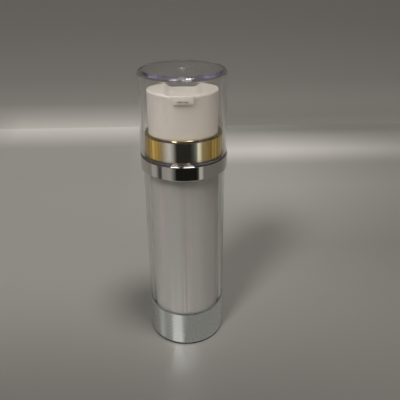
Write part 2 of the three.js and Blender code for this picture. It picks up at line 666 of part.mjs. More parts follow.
// Middle line of a spring: the end turns ease flat onto their seats, and each end runs straight
// for one wire diameter
function springLine() {
  const rise = SPRING_LENGTH - SPRING_WIRE;
  const pitch = rise / (SPRING_TURNS - 1);
  const low = SPRING_Z + SPRING_WIRE / 2;
  const height = (t) => {
    if (t < 1) return (pitch * t * t) / 2;
    if (t > SPRING_TURNS - 1) return rise - (pitch * (SPRING_TURNS - t) ** 2) / 2;
    return pitch * (t - 1 / 2);
  };
  const line = [];
  for (let i = 0; i <= SPRING_TURNS * COIL_STEPS; i += 1) {
    const t = i / COIL_STEPS;
    const angle = 2 * Math.PI * t;
    const [x, y] = [SPRING_RADIUS * Math.cos(angle), SPRING_RADIUS * Math.sin(angle)];
    line.push(new THREE.Vector3(x, y, low + height(t)));
  }
  const before = line[0].clone().add(new THREE.Vector3(0, -SPRING_WIRE, 0));
  const after = line[line.length - 1].clone().add(new THREE.Vector3(0, SPRING_WIRE, 0));
  return [before, ...line, after];
}

// One unbroken tube of wire along the spring's middle line
function returnSpring() {
  const line = springLine();
  const up = new THREE.Vector3(0, 0, 1);
  const points = [];
  const index = [];
  line.forEach((middle, i) => {
    const ahead = line[Math.min(i + 1, line.length - 1)];
    const behind = line[Math.max(i - 1, 0)];
    const along = ahead.clone().sub(behind).normalize();
    const out = new THREE.Vector3().crossVectors(along, up).normalize();
    const over = new THREE.Vector3().crossVectors(out, along);
    for (let k = 0; k < WIRE_SIDES; k += 1) {
      const angle = (2 * Math.PI * k) / WIRE_SIDES;
      const point = middle.clone();
      point.addScaledVector(out, (SPRING_WIRE / 2) * Math.cos(angle));
      point.addScaledVector(over, (SPRING_WIRE / 2) * Math.sin(angle));
      points.push(point.x, point.y, point.z);
    }
  });
  const last = (line.length - 1) * WIRE_SIDES;
  for (let k = 0; k < WIRE_SIDES; k += 1) {
    const next = (k + 1) % WIRE_SIDES;
    for (let ring = 0; ring < last; ring += WIRE_SIDES) {
      const above = ring + WIRE_SIDES;
      index.push(ring + k, above + next, ring + next, ring + k, above + k, above + next);
    }
    if (k > 1) {
      index.push(0, k - 1, k);
      index.push(last, last + k, last + k - 1);
    }
  }
  const geometry = new THREE.BufferGeometry();
  geometry.setAttribute('position', new THREE.Float32BufferAttribute(points, 3));
  geometry.setIndex(index);
  return weld(geometry);
}

// The least clear space between turns, measured on the points of the middle line
function springGap() {
  const line = springLine();
  let least = Infinity;
  for (let i = 0; i < line.length; i += 1) {
    for (let j = i + COIL_STEPS - 1; j < line.length; j += 1) {
      least = Math.min(least, line[i].distanceTo(line[j]) - SPRING_WIRE);
    }
  }
  return least;
}

// Everything that one chamber has for itself, built on the +X side and turned to its own side
function chamberSide(side, angle) {
  const group = new THREE.Group();
  group.rotation.z = angle;
  group.add(piece(`chamber_${side}`, chamber(), PEARL_POLYPROPYLENE));
  group.add(piece(`chamber_base_${side}`, chamberBase(), WHITE_POLYPROPYLENE));
  group.add(piece(`follower_${side}`, follower(), SOFT_POLYETHYLENE));
  const pump = new THREE.Group();
  pump.position.x = PUMP_X;
  pump.add(piece(`pump_housing_${side}`, pumpHousing(), WHITE_POLYPROPYLENE));
  pump.add(piece(`housing_gasket_${side}`, housingGasket(), SOFT_POLYETHYLENE));
  pump.add(piece(`housing_closure_${side}`, housingClosure(), WHITE_POLYPROPYLENE));
  pump.add(piece(`pump_stem_${side}`, pumpStem(), WHITE_POLYPROPYLENE));
  pump.add(piece(`piston_seal_${side}`, pistonSeal(), SOFT_POLYETHYLENE));
  pump.add(piece(`inlet_ball_${side}`, inletBall(), SPRING_STEEL));
  pump.add(piece(`return_spring_${side}`, returnSpring(), SPRING_STEEL));
  group.add(pump);
  return group;
}

const bottle = new THREE.Group();
bottle.name = 'dual_chamber_pump_bottle';
bottle.add(piece('base_cup', baseCup(), SATIN_SILVER));
bottle.add(piece('outer_bottle', outerBottle(), CLEAR_STYRENE));
bottle.add(piece('shoulder_ring', shoulderRing(), SILVER_PLATE));
bottle.add(piece('pump_carrier', pumpCarrier(), WHITE_POLYPROPYLENE));
bottle.add(piece('pump_collar', pumpCollar(), GOLD_PLATE));
bottle.add(piece('actuator', actuator(), WHITE_POLYPROPYLENE));
bottle.add(piece('outlet_manifold', outletManifold(), WHITE_POLYPROPYLENE));
bottle.add(piece('overcap', overcap(), CLEAR_STYRENE));
bottle.add(chamberSide('right', 0));
bottle.add(chamberSide('left', Math.PI));

console.log(`least gap between the turns of a spring: ${springGap().toFixed(2)} mm`);

export default bottle;
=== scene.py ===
# %% [markdown]
# A dual chamber pump bottle, dressed for a close photograph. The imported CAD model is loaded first
# and gives every size and every body that moves. Each piece that shows is then modelled again with
# smooth mouldings and its own finish, in metres and in the same frame. The spout faces -Y.

# %% Load the frame
import json
import math

import bmesh
import bpy
from mathutils import Matrix, Vector


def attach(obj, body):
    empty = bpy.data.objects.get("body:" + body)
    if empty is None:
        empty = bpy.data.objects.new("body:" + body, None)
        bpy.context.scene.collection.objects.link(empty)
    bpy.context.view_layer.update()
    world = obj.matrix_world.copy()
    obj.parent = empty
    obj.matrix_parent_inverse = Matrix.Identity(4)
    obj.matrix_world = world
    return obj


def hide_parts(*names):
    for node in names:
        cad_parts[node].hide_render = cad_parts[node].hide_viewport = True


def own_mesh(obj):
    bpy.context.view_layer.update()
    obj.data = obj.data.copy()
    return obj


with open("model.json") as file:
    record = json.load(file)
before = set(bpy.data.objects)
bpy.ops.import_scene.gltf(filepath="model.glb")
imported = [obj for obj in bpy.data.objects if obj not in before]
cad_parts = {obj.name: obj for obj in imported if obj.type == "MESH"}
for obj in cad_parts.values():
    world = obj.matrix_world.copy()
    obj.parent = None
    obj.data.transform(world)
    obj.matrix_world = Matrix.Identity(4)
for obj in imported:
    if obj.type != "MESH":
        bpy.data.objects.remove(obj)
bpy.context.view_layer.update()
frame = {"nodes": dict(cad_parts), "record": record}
scene = bpy.context.scene
MM = 0.001
PER_MM = 1 / MM

# %% [markdown]
# The camera stands in front of the bottle and a little above its cap, and looks down by about 27
# degrees. Its place and lens were worked out from the edges of the base, ring and cap, so they are
# set as a matrix of three directions rather than by eye. A ray crosses many clear walls here, so it
# may bounce far more often than Blender lets it at first.

# %% Camera
PITCH, YAW, ROLL = 0.4659, 0.0352, -0.0048
EYE = (0, -0.22104, 0.18968)
SENSOR, FOCAL_PIXELS, IMAGE_PIXELS = 36, 481.24, 400
BOUNCES = 128

level_share = math.cos(PITCH)
ahead = Vector((math.sin(YAW) * level_share, math.cos(YAW) * level_share, -math.sin(PITCH)))
right = Vector((math.cos(YAW), -math.sin(YAW), 0))
up = right.cross(ahead)
rolled_right = right * math.cos(ROLL) + up * math.sin(ROLL)
rolled_up = up * math.cos(ROLL) - right * math.sin(ROLL)
camera = bpy.data.objects.new("camera", bpy.data.cameras.new("camera"))
camera.matrix_world = Matrix((rolled_right, rolled_up, -ahead)).transposed().to_4x4()
camera.location = EYE
camera.data.sensor_width = SENSOR
camera.data.lens = SENSOR * FOCAL_PIXELS / IMAGE_PIXELS
camera.data.clip_start = 0.01
scene.collection.objects.link(camera)
scene.camera = camera
scene.view_settings.view_transform = "Standard"
scene.cycles.max_bounces = BOUNCES
scene.cycles.glossy_bounces = BOUNCES
scene.cycles.transmission_bounces = BOUNCES
print("lens:", round(camera.data.lens, 2), "mm")

# %% [markdown]
# Colours are written as the hex values one would pick from a screen. Blender's shaders work in
# linear light, so one function turns the first into the second. A second function adds a shader
# node, sets its inputs or properties and links what feeds it. The sockets of a Mix node share their
# names between numbers and colours, so they are called by their place in the list.

# %% Colour and node helpers
FACTOR, NUMBER_A, NUMBER_B, COLOUR_A, COLOUR_B, COLOUR_OUT = 0, 2, 3, 6, 7, 2


def linear(hex_colour):
    parts = [int(hex_colour[i:i + 2], 16) / 255 for i in (1, 3, 5)]
    return [p / 12.92 if p <= 0.04045 else ((p + 0.055) / 1.055) ** 2.4 for p in parts] + [1]


def add(tree, kind, values={}, links={}):
    made = tree.nodes.new("ShaderNode" + kind)
    for name, value in values.items():
        if isinstance(name, int) or name in made.inputs:
            made.inputs[name].default_value = value
        else:
            setattr(made, name, value)
    for name, source in links.items():
        tree.links.new(source, made.inputs[name])
    return made


def start(name):
    finish = bpy.data.materials.new(name)
    finish.use_nodes = True
    tree = finish.node_tree
    tree.nodes.clear()
    place = add(tree, "TexCoord").outputs["Object"]
    return finish, tree, place


print("mid grey, linear:", [round(c, 3) for c in linear("#8c8984")])

# %% [markdown]
# Clear styrene, injection moulded in a polished tool. It is as clear as glass and bends light more
# than glass does. The toner that hides its yellow shows as violet where one looks along the wall,
# so the colour is put inside it as absorption, which grows with the length of the path. The stub
# in the middle of the cap's top is torn from the gate, so it is frosted there. Lamps are let
# through by a Transparent shader, because a path tracer finds light behind glass slowly. It would
# let too much through, so its colour takes some away, and more where a face lies level.

# %% Clear styrene
clear_styrene, tree, place = start("clear styrene, moulded and polished")
flow = add(tree, "TexNoise", {"Scale": PER_MM / 9, "Detail": 1.0}, {"Vector": place})
ripple = add(tree, "Bump", {"Strength": 0.03, "Distance": 0.2 * MM},
             {"Height": flow.outputs["Fac"]})
scuff = add(tree, "TexNoise", {"Scale": PER_MM / 2.5, "Detail": 4.0}, {"Vector": place})
haze = add(tree, "MapRange", {"From Min": 0.5, "From Max": 0.8, "To Min": 0.008, "To Max": 0.04},
           {"Value": scuff.outputs["Fac"]})
flat = add(tree, "VectorMath", {"operation": "MULTIPLY", 1: (1, 1, 0)}, {0: place})
off_axis = add(tree, "VectorMath", {"operation": "LENGTH"}, {0: flat.outputs[0]})
torn = add(tree, "MapRange",
           {"From Min": 1.2 * MM, "From Max": 1.5 * MM, "To Min": 0.6, "To Max": 0.0},
           {"Value": off_axis.outputs["Value"]})
dull = add(tree, "Math", {"operation": "MAXIMUM"},
           {0: haze.outputs["Result"], 1: torn.outputs["Result"]})
glass = add(tree, "BsdfPrincipled",
            {"Base Color": linear("#fcfbfa"), "Transmission Weight": 1.0, "IOR": 1.57},
            {"Roughness": dull.outputs[0], "Normal": ripple.outputs["Normal"]})
facing = add(tree, "NewGeometry")
tilt = add(tree, "SeparateXYZ", {}, {0: facing.outputs["True Normal"]})
level = add(tree, "Math", {"operation": "ABSOLUTE"}, {0: tilt.outputs["Z"]})
loss = add(tree, "Mix",
           {"data_type": "RGBA", COLOUR_A: linear("#c8c7ca"), COLOUR_B: linear("#8a898c")},
           {FACTOR: level.outputs[0]})
shade = add(tree, "BsdfTransparent", {}, {"Color": loss.outputs[COLOUR_OUT]})
ray = add(tree, "LightPath")
both = add(tree, "MixShader", {},
           {0: ray.outputs["Is Shadow Ray"], 1: glass.outputs[0], 2: shade.outputs[0]})
toner = add(tree, "VolumeAbsorption", {"Color": linear("#a284d2"), "Density": 8.5})
add(tree, "OutputMaterial", {}, {"Surface": both.outputs[0], "Volume": toner.outputs[0]})
print("made:", clear_styrene.name)

# %% [markdown]
# The sleeve is of a greyer grade. Light that enters at its edges is thrown back by the bore and
# runs through the wall twice, so the edges show darker than the table behind them.

# %% Clear styrene of the sleeve
grey_styrene = clear_styrene.copy()
grey_styrene.name = "clear styrene, greyer grade of the sleeve"
smoke = grey_styrene.node_tree.nodes[toner.name]
smoke.inputs["Color"].default_value = linear("#898695")
smoke.inputs["Density"].default_value = 40.0
print("made:", grey_styrene.name)

# %% [markdown]
# White polypropylene, moulded against a spark eroded tool. The tool leaves a fine even grain that
# turns the gloss to satin, and the wall is a little milky, so light creeps into it. The real grain
# is near 0.05 mm and would not show, so it is drawn at 0.35 mm.

# %% White polypropylene
white_polypropylene, tree, place = start("white polypropylene, moulded satin")
cloud = add(tree, "TexNoise", {"Scale": PER_MM / 7, "Detail": 2.0}, {"Vector": place})
tone = add(tree, "Mix",
           {"data_type": "RGBA", COLOUR_A: linear("#bfb9ad"), COLOUR_B: linear("#c7c1b5")},
           {FACTOR: cloud.outputs["Fac"]})
grain = add(tree, "TexNoise", {"Scale": PER_MM / 0.35, "Detail": 1.0}, {"Vector": place})
satin = add(tree, "MapRange", {"To Min": 0.4, "To Max": 0.52}, {"Value": grain.outputs["Fac"]})
bite = add(tree, "Bump", {"Strength": 0.12, "Distance": 0.03 * MM},
           {"Height": grain.outputs["Fac"]})
skin = add(tree, "BsdfPrincipled",
           {"IOR": 1.49, "Subsurface Weight": 0.15, "Subsurface Scale": 0.6 * MM,
            "Subsurface Radius": (1.0, 0.9, 0.8)},
           {"Base Color": tone.outputs[COLOUR_OUT], "Roughness": satin.outputs["Result"],
            "Normal": bite.outputs["Normal"]})
add(tree, "OutputMaterial", {}, {"Surface": skin.outputs[0]})
print("made:", white_polypropylene.name)

# %% [markdown]
# Pearl polypropylene, drawn out long in the mould. Flakes of mica lie along the flow, so the wall
# has soft upright streaks, a faint play of pink and green across them, and a silky gloss. Low down,
# two pale lines are painted along the seam, one on each bottle's rounded edge: painted highlights
# where those edges would catch the light.

# %% Pearl polypropylene
SEAM_HIGHLIGHT_AT = 1.1 * MM

pearl_polypropylene, tree, place = start("pearl polypropylene, moulded with mica")
drawn = add(tree, "Mapping", {"Scale": (1, 1, 0.04)}, {"Vector": place})
streak = add(tree, "TexNoise", {"Scale": PER_MM / 3, "Detail": 3.0}, {"Vector": drawn.outputs[0]})
play = add(tree, "TexNoise", {"Scale": PER_MM / 9, "Detail": 1.0}, {"Vector": drawn.outputs[0]})
milk = add(tree, "Mix",
           {"data_type": "RGBA", COLOUR_A: linear("#9a9993"), COLOUR_B: linear("#b7b6b0")},
           {FACTOR: streak.outputs["Fac"]})
hue = add(tree, "Mix",
          {"data_type": "RGBA", COLOUR_A: linear("#a4ac9f"), COLOUR_B: linear("#b8a79f")},
          {FACTOR: play.outputs["Fac"]})
tint = add(tree, "Mix", {"data_type": "RGBA", FACTOR: 0.25},
           {COLOUR_A: milk.outputs[COLOUR_OUT], COLOUR_B: hue.outputs[COLOUR_OUT]})
# Painted highlight: a pale line on each side of the seam, fading out above the lower part.
spot = add(tree, "SeparateXYZ", {}, {0: place})
off_seam = add(tree, "Math", {"operation": "ABSOLUTE"}, {0: spot.outputs["X"]})
off_edge = add(tree, "Math", {"operation": "SUBTRACT", 1: SEAM_HIGHLIGHT_AT}, {0: off_seam.outputs[0]})
near_edge = add(tree, "Math", {"operation": "ABSOLUTE"}, {0: off_edge.outputs[0]})
seam_highlight = add(tree, "MapRange",
             {"From Min": 0.15 * MM, "From Max": 0.5 * MM, "To Min": 0.4, "To Max": 0.0},
             {"Value": near_edge.outputs[0]})
low = add(tree, "MapRange",
          {"From Min": 25 * MM, "From Max": 60 * MM, "To Min": 1.0, "To Max": 0.0},
          {"Value": spot.outputs["Z"]})
painted_highlight = add(tree, "Math", {"operation": "MULTIPLY"},
           {0: seam_highlight.outputs["Result"], 1: low.outputs["Result"]})
tone = add(tree, "Mix", {"data_type": "RGBA", COLOUR_B: linear("#cfcec9")},
           {FACTOR: painted_highlight.outputs[0], COLOUR_A: tint.outputs[COLOUR_OUT]})
silk = add(tree, "MapRange", {"To Min": 0.3, "To Max": 0.42}, {"Value": streak.outputs["Fac"]})
skin = add(tree, "BsdfPrincipled",
           {"IOR": 1.49, "Coat Weight": 0.2, "Coat Roughness": 0.25,
            "Subsurface Weight": 0.35, "Subsurface Scale": 1.2 * MM},
           {"Base Color": tone.outputs[COLOUR_OUT], "Roughness": silk.outputs["Result"]})
add(tree, "OutputMaterial", {}, {"Surface": skin.outputs[0]})
print("made:", pearl_polypropylene.name)

# %% [markdown]
# Three plated finishes. Plastic is polished or blasted, coated with metal in a vacuum and then
# lacquered. The mirror ones show the room, bent by the last unevenness of the moulding. The satin
# one spreads each light into a soft upright band. A piece can be painted dark below a height, as
# the foot of the base is: painted shade that stands in for the shadow gap under its foot.

# %% Plated finishes
def plated(name, low, high, mirror, dull, wave, shade_below=-1.0):
    finish, tree, place = start(name)
    cloud = add(tree, "TexNoise", {"Scale": PER_MM / 5, "Detail": 3.0}, {"Vector": place})
    plate = add(tree, "Mix",
                {"data_type": "RGBA", COLOUR_A: linear(low), COLOUR_B: linear(high)},
                {FACTOR: cloud.outputs["Fac"]})
    spot = add(tree, "SeparateXYZ", {}, {0: place})
    # Painted shade: below the given height the tone turns near black, for the gap under a foot.
    above_shade = add(tree, "MapRange", {"From Min": shade_below * MM, "From Max": (shade_below + 0.1) * MM},
                {"Value": spot.outputs["Z"]})
    tone = add(tree, "Mix", {"data_type": "RGBA", COLOUR_A: linear("#1d1d1b")},
               {FACTOR: above_shade.outputs["Result"], COLOUR_B: plate.outputs[COLOUR_OUT]})
    speck = add(tree, "TexNoise", {"Scale": PER_MM / 0.4, "Detail": 2.0}, {"Vector": place})
    gloss = add(tree, "MapRange", {"To Min": mirror, "To Max": dull},
                {"Value": speck.outputs["Fac"]})
    swell = add(tree, "Bump", {"Strength": wave, "Distance": 0.1 * MM},
                {"Height": cloud.outputs["Fac"]})
    metal = add(tree, "BsdfPrincipled", {"Metallic": 1.0},
                {"Base Color": tone.outputs[COLOUR_OUT], "Roughness": gloss.outputs["Result"],
                 "Normal": swell.outputs["Normal"]})
    add(tree, "OutputMaterial", {}, {"Surface": metal.outputs[0]})
    print("made:", finish.name)
    return finish


gold_plate = plated("champagne gold plate, lacquered mirror", "#dfd0a6", "#e6d8b2",
                    mirror=0.03, dull=0.06, wave=0.02)
silver_plate = plated("silver plate, lacquered mirror", "#d2d0cc", "#dbd9d6",
                      mirror=0.02, dull=0.05, wave=0.02)
# The base's lowest millimetre is painted near black: painted shade for the gap under its foot.
satin_silver = plated("silver plate, blasted satin", "#d8d8d7", "#e0e0df",
                      mirror=0.24, dull=0.32, wave=0.02, shade_below=1.0)

# %% [markdown]
# Two finishes hide inside. Followers, gaskets and seals are soft polyethylene, which is waxy and
# dull. Springs and inlet balls are bright stainless steel, drawn or ground along their length.

# %% Soft polyethylene and stainless steel
soft_polyethylene, tree, place = start("soft polyethylene, moulded waxy")
cloud = add(tree, "TexNoise", {"Scale": PER_MM / 4, "Detail": 3.0}, {"Vector": place})
tone = add(tree, "Mix",
           {"data_type": "RGBA", COLOUR_A: linear("#dedbd2"), COLOUR_B: linear("#e9e6de")},
           {FACTOR: cloud.outputs["Fac"]})
wax = add(tree, "MapRange", {"To Min": 0.5, "To Max": 0.65}, {"Value": cloud.outputs["Fac"]})
skin = add(tree, "BsdfPrincipled",
           {"IOR": 1.51, "Subsurface Weight": 0.1, "Subsurface Scale": 0.8 * MM},
           {"Base Color": tone.outputs[COLOUR_OUT], "Roughness": wax.outputs["Result"]})
add(tree, "OutputMaterial", {}, {"Surface": skin.outputs[0]})
print("made:", soft_polyethylene.name)
stainless_steel = plated("stainless steel, drawn bright", "#a9aaad", "#c3c4c6",
                         mirror=0.16, dull=0.28, wave=0.04)

# %% [markdown]
# Nearly all the pieces are turned or swept shapes, so one function skins a row of rings: each ring
# is a closed loop of points, and the last ring joins the first, as the inside of a tube joins its
# outside. Corners are eased by a second function, which puts a small arc at a corner and a point
# just past each end of it. Without those points the shading of the arc would leak over the long
# wall beside it, and a mirror would show that at once. All shapes are written in millimetres.

# %% Shape helpers
CREASE, BLENDED_CREASE = 40, 50
SIDES = 160


def ease(outline, steps=6):
    points = []
    for i, corner in enumerate(outline):
        here = Vector(corner[:2])
        if len(corner) < 3:
            points.append(here)
            continue
        rounding = corner[2]
        before = Vector(outline[i - 1][:2]) - here
        after = Vector(outline[(i + 1) % len(outline)][:2]) - here
        into, out = before.normalized(), after.normalized()
        half = into.angle(out) / 2
        reach = rounding / math.tan(half)
        middle = here + (into + out).normalized() * rounding / math.sin(half)
        first, last = here + into * reach - middle, here + out * reach - middle
        sweep = first.angle_signed(last)
        guard = min(0.15 * rounding, 0.2 * before.length, 0.2 * after.length)
        points.append(here + into * (reach + guard))
        for k in range(steps + 1):
            points.append(middle + Matrix.Rotation(-sweep * k / steps, 2) @ first)
        points.append(here + out * (reach + guard))
    return points


def skin_rings(name, rings, closed=True, crease=CREASE):
    shape = bmesh.new()
    rows = [[shape.verts.new(Vector(p) * MM) for p in ring] for ring in rings]
    for low, high in zip(rows, rows[1:] + rows[:1] if closed else rows[1:]):
        for i in range(len(low)):
            j = (i + 1) % len(low)
            shape.faces.new((low[i], low[j], high[j], high[i]))
    if not closed:
        shape.faces.new(rows[0][::-1])
        shape.faces.new(rows[-1])
    bmesh.ops.remove_doubles(shape, verts=shape.verts, dist=1e-8)
    bmesh.ops.recalc_face_normals(shape, faces=shape.faces)
    mesh = bpy.data.meshes.new(name)
    shape.to_mesh(mesh)
    shape.free()
    mesh.shade_smooth()
    mesh.set_sharp_from_angle(angle=math.radians(crease))
    piece = bpy.data.objects.new(name, mesh)
    scene.collection.objects.link(piece)
    return piece


def turned(name, outline):
    angles = [2 * math.pi * k / SIDES for k in range(SIDES)]
    return skin_rings(name, [[(r * math.cos(a), r * math.sin(a), z) for a in angles]
                             for r, z in ease(outline)])


def settle(piece, node, body, finish):
    piece.data.materials.clear()
    piece.data.materials.append(finish)
    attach(piece, body)
    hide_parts(node)
    print("placed:", piece.name, "faces:", len(piece.data.polygons))


print("helpers ready")

# %% [markdown]
# The base cup is a thin plated moulding. Its foot is a narrow ring, so that it stands steady on an
# uneven shelf, with a small step above it, and a vent in the raised middle lets air in under the
# followers. Each corner of an outline is a radius, a height and how much it is rounded.

# %% Base cup
BODY_R = 20.0
BASE_BORE, FOOT_R, VENT_R = 19.1, 19.7, 1.0
UNDERSIDE, FOOT_STEP, BASE_FLOOR, BASE_LIP = 0.7, 0.8, 2.0, 20.8

base_cup = turned("satin_base_cup", [
    (VENT_R, UNDERSIDE, 0.15), (16.1, UNDERSIDE, 0.3), (16.8, 0.0, 0.2), (FOOT_R, 0.0, 0.1),
    (FOOT_R, FOOT_STEP, 0.05), (BODY_R, FOOT_STEP, 0.2), (BODY_R, 19.9, 0.4), (19.7, BASE_LIP),
    (BASE_BORE, BASE_LIP, 0.15), (BASE_BORE, BASE_FLOOR, 0.3), (VENT_R, BASE_FLOOR, 0.15),
])
settle(base_cup, "base_cup", "bottle", satin_silver)

# %% [markdown]
# The sleeve is a thick clear tube that stands in the base cup on a stepped-in end. Most of what one
# sees of it is at its two edges, where the light runs along the wall.

# %% Clear sleeve
SLEEVE_BORE, SPIGOT_R = 17.8, 18.8
SLEEVE_FOOT, SLEEVE_STEP, SLEEVE_TOP = 2.3, 21.1, 102.0

sleeve = turned("clear_sleeve", [
    (SLEEVE_BORE, SLEEVE_FOOT, 0.2), (SPIGOT_R, SLEEVE_FOOT, 0.3), (SPIGOT_R, SLEEVE_STEP, 0.2),
    (BODY_R, SLEEVE_STEP, 0.3), (BODY_R, SLEEVE_TOP, 0.3), (SLEEVE_BORE, SLEEVE_TOP, 0.3),
])
settle(sleeve, "outer_bottle", "bottle", grey_styrene)

# %% [markdown]
# The shoulder ring is a thin mirror skirt under a flat ledge. The overcap stands on that ledge.

# %% Shoulder ring
RING_R, SKIRT_BORE, LEDGE_BORE = 21.15, 20.3, 19.0
RING_FOOT, DECK, RING_TOP = 98.5, 104.1, 105.6

shoulder_ring = turned("mirror_shoulder_ring", [
    (SKIRT_BORE, RING_FOOT, 0.15), (RING_R, RING_FOOT, 0.35), (RING_R, RING_TOP, 0.5),
    (LEDGE_BORE, RING_TOP, 0.2), (LEDGE_BORE, DECK, 0.2), (SKIRT_BORE, DECK, 0.3),
])
settle(shoulder_ring, "shoulder_ring", "bottle", silver_plate)

# %% [markdown]
# The collar is pressed on the pump carrier, and the pump head sinks into its bore. Its top edge is
# well rounded, so it mirrors the ceiling panels as a few short glints on a dark line.

# %% Collar
COLLAR_R, COLLAR_BORE, COLLAR_SOCKET = 18.7, 17.1, 18.1
COLLAR_STOP, COLLAR_TOP = 107.7, 117.4

collar = turned("gold_collar", [
    (COLLAR_SOCKET, DECK, 0.1), (COLLAR_R, DECK, 0.2), (COLLAR_R, COLLAR_TOP, 1.2),
    (COLLAR_BORE, COLLAR_TOP, 0.3), (COLLAR_BORE, COLLAR_STOP, 0.3),
    (COLLAR_SOCKET, COLLAR_STOP, 0.1),
])
settle(collar, "pump_collar", "bottle", gold_plate)

# %% [markdown]
# The overcap is moulded through one gate in the middle of its top, where the sprue leaves a small
# sunk mark with a stub in it. The walls lean in a little so that it leaves the tool.

# %% Overcap
CAP_FOOT_R, CAP_TOP_R, CAP_FOOT_BORE, CAP_TOP_BORE = 21.1, 20.6, 19.25, 18.75
CAP_FOOT, CAP_CEILING, CAP_TOP = 105.9, 143.5, 145.4
GATE_R, GATE_FLOOR, STUB_R, STUB_TOP = 2.42, 145.0, 1.5, 145.38

overcap = turned("clear_overcap", [
    (CAP_FOOT_BORE, CAP_FOOT, 0.25), (CAP_FOOT_R, CAP_FOOT, 0.25), (CAP_TOP_R, CAP_TOP, 2.1),
    (GATE_R, CAP_TOP, 0.2), (2.0, GATE_FLOOR, 0.2), (STUB_R, GATE_FLOOR, 0.2), (1.1, 145.33, 0.2),
    (0.0, STUB_TOP), (0.0, CAP_CEILING), (CAP_TOP_BORE, CAP_CEILING, 0.5),
])
settle(overcap, "overcap", "cap", clear_styrene)

# %% [markdown]
# The actuator is a deep shell with a finger scoop across its top. The top is drawn as a height over
# each point: the lower of a gently falling deck and a valley whose floor drops to the back. Where
# the two meet they are blended over about a millimetre, as a moulded edge would be.

# %% Actuator's top
HEAD, BORE, HEAD_TOP, HEAD_FOOT, ROOF = 16.7, 15.4, 137.0, 112.9, 131.2
BACK_FALL, SCOOP_DEPTH, SCOOP_SLOPE, SCOOP_HALF = 1.6, 1.95, 0.1048, 6.5
DECK_BLEND, FLOOR_BLEND, LIP_BLEND = 0.3, 1.6, 1.1


def lower(a, b, blend):
    near = max(blend - abs(a - b), 0) / blend
    return min(a, b) - near * near * blend / 4


def top_height(x, y):
    deck = lower(HEAD_TOP, HEAD_TOP - BACK_FALL * y / HEAD, DECK_BLEND)
    floor = HEAD_TOP - SCOOP_DEPTH - SCOOP_SLOPE * y
    valley = -lower(-floor, -(floor + abs(x) - SCOOP_HALF), FLOOR_BLEND)
    return lower(deck, valley, LIP_BLEND)


print("scoop at the back:", round(HEAD_TOP - BACK_FALL - top_height(0, HEAD), 2), "mm deep")

# %% [markdown]
# The shell is skinned from rings that climb its wall, turn over a rounded rim, close in over the
# top and come back down inside.

# %% Actuator shell
COLUMNS, WALL_ROWS, RIM_ROWS, TOP_ROWS = 240, 24, 8, 40
EDGE, FOOT_EASE = 0.9, 0.25
angles = [2 * math.pi * k / COLUMNS for k in range(COLUMNS)]


def around(radius, heights):
    return [(radius * math.cos(a), radius * math.sin(a), z) for a, z in zip(angles, heights)]


def level_ring(radius, height):
    return around(radius, [height] * COLUMNS)


def top_ring(radius):
    return [top_height(radius * math.cos(a), radius * math.sin(a)) for a in angles]


wall_foot = HEAD_FOOT + FOOT_EASE
rim = top_ring(HEAD - EDGE)
rings = [level_ring(BORE, wall_foot), level_ring(BORE + FOOT_EASE, HEAD_FOOT),
         level_ring(HEAD - FOOT_EASE, HEAD_FOOT), level_ring(HEAD, wall_foot)]
for share in [k / WALL_ROWS for k in range(1, WALL_ROWS)] + [0.985]:
    rings.append(around(HEAD, [wall_foot + share * (z - EDGE - wall_foot) for z in rim]))
for k in range(RIM_ROWS + 1):
    t = math.pi / 2 * k / RIM_ROWS
    r = HEAD - EDGE + EDGE * math.cos(t)
    rings.append(around(r, [z - EDGE + EDGE * math.sin(t) for z in rim]))
for k in range(TOP_ROWS - 1, -1, -1):
    r = (HEAD - EDGE) * k / TOP_ROWS
    rings.append(around(r, top_ring(r)))
for inset, drop in ((BORE, 0), (0.6, 0), (0.5, 0), (0.15, 0.15), (0, 0.5), (0, 0.6)):
    rings.append(level_ring(BORE - inset, ROOF - drop))
actuator = skin_rings("satin_actuator", rings, crease=BLENDED_CREASE)
print("actuator faces:", len(actuator.data.polygons))

# %% [markdown]
# The spout is a flat tab that narrows downwards. Its face follows the inside of the cap. It is made
# as its own shape, joined to the shell by a Boolean, and two slots are cut in its face, one outlet
# for each chamber. A Boolean suits this because the shell is already a closed moulding.

# %% Spout and outlets
SPOUT, SPOUT_ROOT = 18.55, -13.5
TAB_FOOT, TAB_MIDDLE, TAB_TOP = 133.35, 135.2, 137.35
TAB_FOOT_HALF, TAB_TOP_HALF, FACE_INSET = 4.35, 5.3, 0.6
SLOT_X, SLOT_HALF, SLOT_FOOT, SLOT_TOP = 1.2, 0.95, 134.5, 134.85
SLOT_FRONT, SLOT_BACK, SLOT_CORNER = -19, -16.6, 0.12


def tab_outline(inset):
    foot, top = TAB_FOOT_HALF - inset, TAB_TOP_HALF - inset
    low, high = TAB_FOOT + inset, TAB_TOP - inset
    return ease([(-foot, low, 0.2), (foot, low, 0.2), (top, high, 0.3), (-top, high, 0.3)], 4)


def on_face(x, z, back=0.0):
    return x, -math.sqrt((SPOUT - back) ** 2 - x * x), z


def slot_cutter(middle):
    left, right = middle - SLOT_HALF, middle + SLOT_HALF
    outline = ease([(left, SLOT_FOOT, SLOT_CORNER), (right, SLOT_FOOT, SLOT_CORNER),
                    (right, SLOT_TOP, SLOT_CORNER), (left, SLOT_TOP, SLOT_CORNER)], 3)
    rings = [[(x, y, z) for x, z in outline] for y in (SLOT_FRONT, SLOT_BACK)]
    return skin_rings("outlet_slot", rings, closed=False)


def carve(piece, tool, operation):
    cut = piece.modifiers.new(tool.name, "BOOLEAN")
    cut.object, cut.operation, cut.solver = tool, operation, "EXACT"
    ready = piece.evaluated_get(bpy.context.evaluated_depsgraph_get())
    mesh = bpy.data.meshes.new_from_object(ready)
    piece.modifiers.clear()
    piece.data = mesh
    bpy.data.objects.remove(tool)
    mesh.shade_smooth()
    mesh.set_sharp_from_angle(angle=math.radians(BLENDED_CREASE))


